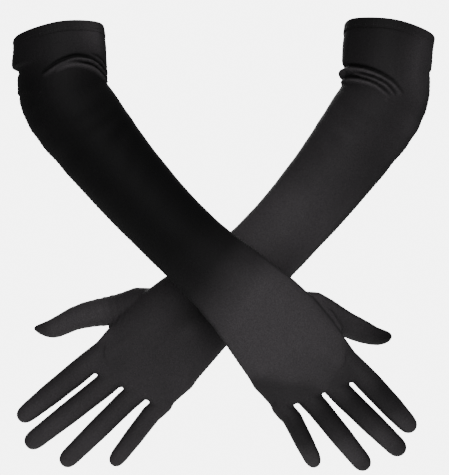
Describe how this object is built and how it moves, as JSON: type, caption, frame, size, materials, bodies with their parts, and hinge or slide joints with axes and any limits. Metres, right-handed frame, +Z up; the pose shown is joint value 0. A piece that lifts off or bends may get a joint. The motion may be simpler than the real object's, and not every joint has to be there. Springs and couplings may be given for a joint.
{
  "type": "opera gloves",
  "caption": "Pair of elbow-length stretch satin gloves worn on crossed arms, each with a turned hem, arm sleeve, hand, thumb and four jointed finger stalls.",
  "frame": {"origin": "centre of the right glove's arm opening, in the plane of its rim", "axes": "+Z up, +X from the right glove to the left one, +Y from the backs of the hands to the palms"},
  "size_m": [0.3749, 0.1448, 0.4033],
  "materials": {
    "satin": "stretch satin with a soft sheen",
    "satin_inside": "dull side of the satin",
    "thread": "sewing thread"
  },
  "bodies": {
    "right_upper": {"right_cuff_hem": "satin", "right_hem_stitching": "thread", "right_upper_sleeve": "satin", "right_upper_seam": "satin_inside"},
    "right_forearm": {"right_forearm_sleeve": "satin", "right_forearm_seam": "satin_inside"},
    "right_hand": {"right_hand_trank": "satin", "right_hand_seam": "satin_inside", "right_thumb_gusset": "satin"},
    "right_thumb_base": {"right_thumb_base": "satin"},
    "right_thumb_tip": {"right_thumb_tip": "satin"},
    "right_index_base": {"right_index_base": "satin", "right_index_base_fourchette": "satin"},
    "right_index_tip": {"right_index_tip": "satin", "right_index_tip_fourchette": "satin"},
    "right_middle_base": {"right_middle_base": "satin", "right_middle_base_fourchette": "satin"},
    "right_middle_tip": {"right_middle_tip": "satin", "right_middle_tip_fourchette": "satin"},
    "right_ring_base": {"right_ring_base": "satin", "right_ring_base_fourchette": "satin"},
    "right_ring_tip": {"right_ring_tip": "satin", "right_ring_tip_fourchette": "satin"},
    "right_little_base": {"right_little_base": "satin", "right_little_base_fourchette": "satin"},
    "right_little_tip": {"right_little_tip": "satin", "right_little_tip_fourchette": "satin"},
    "left_upper": {"left_cuff_hem": "satin", "left_hem_stitching": "thread", "left_upper_sleeve": "satin", "left_upper_seam": "satin_inside"},
    "left_forearm": {"left_forearm_sleeve": "satin", "left_forearm_seam": "satin_inside"},
    "left_hand": {"left_hand_trank": "satin", "left_hand_seam": "satin_inside", "left_thumb_gusset": "satin"},
    "left_thumb_base": {"left_thumb_base": "satin"},
    "left_thumb_tip": {"left_thumb_tip": "satin"},
    "left_index_base": {"left_index_base": "satin", "left_index_base_fourchette": "satin"},
    "left_index_tip": {"left_index_tip": "satin", "left_index_tip_fourchette": "satin"},
    "left_middle_base": {"left_middle_base": "satin", "left_middle_base_fourchette": "satin"},
    "left_middle_tip": {"left_middle_tip": "satin", "left_middle_tip_fourchette": "satin"},
    "left_ring_base": {"left_ring_base": "satin", "left_ring_base_fourchette": "satin"},
    "left_ring_tip": {"left_ring_tip": "satin", "left_ring_tip_fourchette": "satin"},
    "left_little_base": {"left_little_base": "satin", "left_little_base_fourchette": "satin"},
    "left_little_tip": {"left_little_tip": "satin", "left_little_tip_fourchette": "satin"}
  },
  "joints": [
    {"name": "left_glove_apart", "type": "slide", "parent": "right_upper", "child": "left_upper", "axis": [0, 1, 0], "range_m": [0, 0.3]},
    {"name": "right_elbow", "type": "hinge", "parent": "right_upper", "child": "right_forearm", "pos_m": [0.0044, -0.00825, -0.055], "axis": [0, -1, 0], "range_deg": [-35, 20]},
    {"name": "right_wrist", "type": "hinge", "parent": "right_forearm", "child": "right_hand", "pos_m": [0.1477, -0.00825, -0.21528], "axis": [0.6803, 0, 0.7329], "range_deg": [-60, 12]},
    {"name": "right_thumb_first", "type": "hinge", "parent": "right_hand", "child": "right_thumb_base", "pos_m": [0.24805, 0.02266, -0.25221], "axis": [0.3665, 0, 0.9304], "range_deg": [0, 45]},
    {"name": "right_thumb_second", "type": "hinge", "parent": "right_thumb_base", "child": "right_thumb_tip", "pos_m": [0.26777, 0.0359, -0.25998], "axis": [0.3665, 0, 0.9304], "range_deg": [0, 65]},
    {"name": "right_index_knuckle", "type": "hinge", "parent": "right_hand", "child": "right_index_base", "pos_m": [0.27656, -0.00825, -0.30955], "axis": [0.9311, 0, 0.3649], "range_deg": [-25, 60]},
    {"name": "right_index_middle", "type": "hinge", "parent": "right_index_base", "child": "right_index_tip", "pos_m": [0.29286, -0.00094, -0.32704], "axis": [0.7314, 0, 0.682], "range_deg": [-15, 68]},
    {"name": "right_middle_knuckle", "type": "hinge", "parent": "right_hand", "child": "right_middle_base", "pos_m": [0.25235, -0.00825, -0.31904], "axis": [0.9311, 0, 0.3649], "range_deg": [-25, 60]},
    {"name": "right_middle_middle", "type": "hinge", "parent": "right_middle_base", "child": "right_middle_tip", "pos_m": [0.27498, 0.0014, -0.34104], "axis": [0.6972, 0, 0.7169], "range_deg": [-15, 68]},
    {"name": "right_ring_knuckle", "type": "hinge", "parent": "right_hand", "child": "right_ring_base", "pos_m": [0.22855, -0.00825, -0.32836], "axis": [0.9311, 0, 0.3649], "range_deg": [-25, 60]},
    {"name": "right_ring_middle", "type": "hinge", "parent": "right_ring_base", "child": "right_ring_tip", "pos_m": [0.24773, 0.00111, -0.35221], "axis": [0.7793, 0, 0.6266], "range_deg": [-15, 68]},
    {"name": "right_little_knuckle", "type": "hinge", "parent": "right_hand", "child": "right_little_base", "pos_m": [0.20546, -0.00825, -0.33741], "axis": [0.9311, 0, 0.3649], "range_deg": [-25, 60]},
    {"name": "right_little_middle", "type": "hinge", "parent": "right_little_base", "child": "right_little_tip", "pos_m": [0.21537, -0.00153, -0.35705], "axis": [0.8926, 0, 0.4509], "range_deg": [-15, 68]},
    {"name": "left_elbow", "type": "hinge", "parent": "left_upper", "child": "left_forearm", "pos_m": [0.2887, 0.049, -0.055], "axis": [0, 1, 0], "range_deg": [-15, 20]},
    {"name": "left_wrist", "type": "hinge", "parent": "left_forearm", "child": "left_hand", "pos_m": [0.15108, 0.049, -0.22018], "axis": [0.6543, 0, -0.7562], "range_deg": [-10, 60]},
    {"name": "left_thumb_first", "type": "hinge", "parent": "left_hand", "child": "left_thumb_base", "pos_m": [0.04048, 0.06154, -0.24624], "axis": [0.225, 0, -0.9744], "range_deg": [0, 45]},
    {"name": "left_thumb_second", "type": "hinge", "parent": "left_thumb_base", "child": "left_thumb_tip", "pos_m": [0.01636, 0.06502, -0.25181], "axis": [0.225, 0, -0.9744], "range_deg": [0, 65]},
    {"name": "left_index_knuckle", "type": "hinge", "parent": "left_hand", "child": "left_index_base", "pos_m": [0.01308, 0.049, -0.30047], "axis": [0.8878, 0, -0.4602], "range_deg": [-25, 75]},
    {"name": "left_index_middle", "type": "hinge", "parent": "left_index_base", "child": "left_index_tip", "pos_m": [-0.00639, 0.04987, -0.31612], "axis": [0.6266, 0, -0.7793], "range_deg": [0, 84]},
    {"name": "left_middle_knuckle", "type": "hinge", "parent": "left_hand", "child": "left_middle_base", "pos_m": [0.03616, 0.049, -0.31243], "axis": [0.8878, 0, -0.4602], "range_deg": [-25, 75]},
    {"name": "left_middle_middle", "type": "hinge", "parent": "left_middle_base", "child": "left_middle_tip", "pos_m": [0.01017, 0.05015, -0.33274], "axis": [0.6157, 0, -0.788], "range_deg": [0, 84]},
    {"name": "left_ring_knuckle", "type": "hinge", "parent": "left_hand", "child": "left_ring_base", "pos_m": [0.05885, 0.049, -0.3242], "axis": [0.8878, 0, -0.4602], "range_deg": [-25, 75]},
    {"name": "left_ring_middle", "type": "hinge", "parent": "left_ring_base", "child": "left_ring_tip", "pos_m": [0.03608, 0.05012, -0.34665], "axis": [0.7022, 0, -0.712], "range_deg": [0, 84]},
    {"name": "left_little_knuckle", "type": "hinge", "parent": "left_hand", "child": "left_little_base", "pos_m": [0.08087, 0.049, -0.33561], "axis": [0.8878, 0, -0.4602], "range_deg": [-25, 75]},
    {"name": "left_little_middle", "type": "hinge", "parent": "left_little_base", "child": "left_little_tip", "pos_m": [0.06688, 0.0498, -0.35385], "axis": [0.7934, 0, -0.6088], "range_deg": [0, 84]}
  ]
}
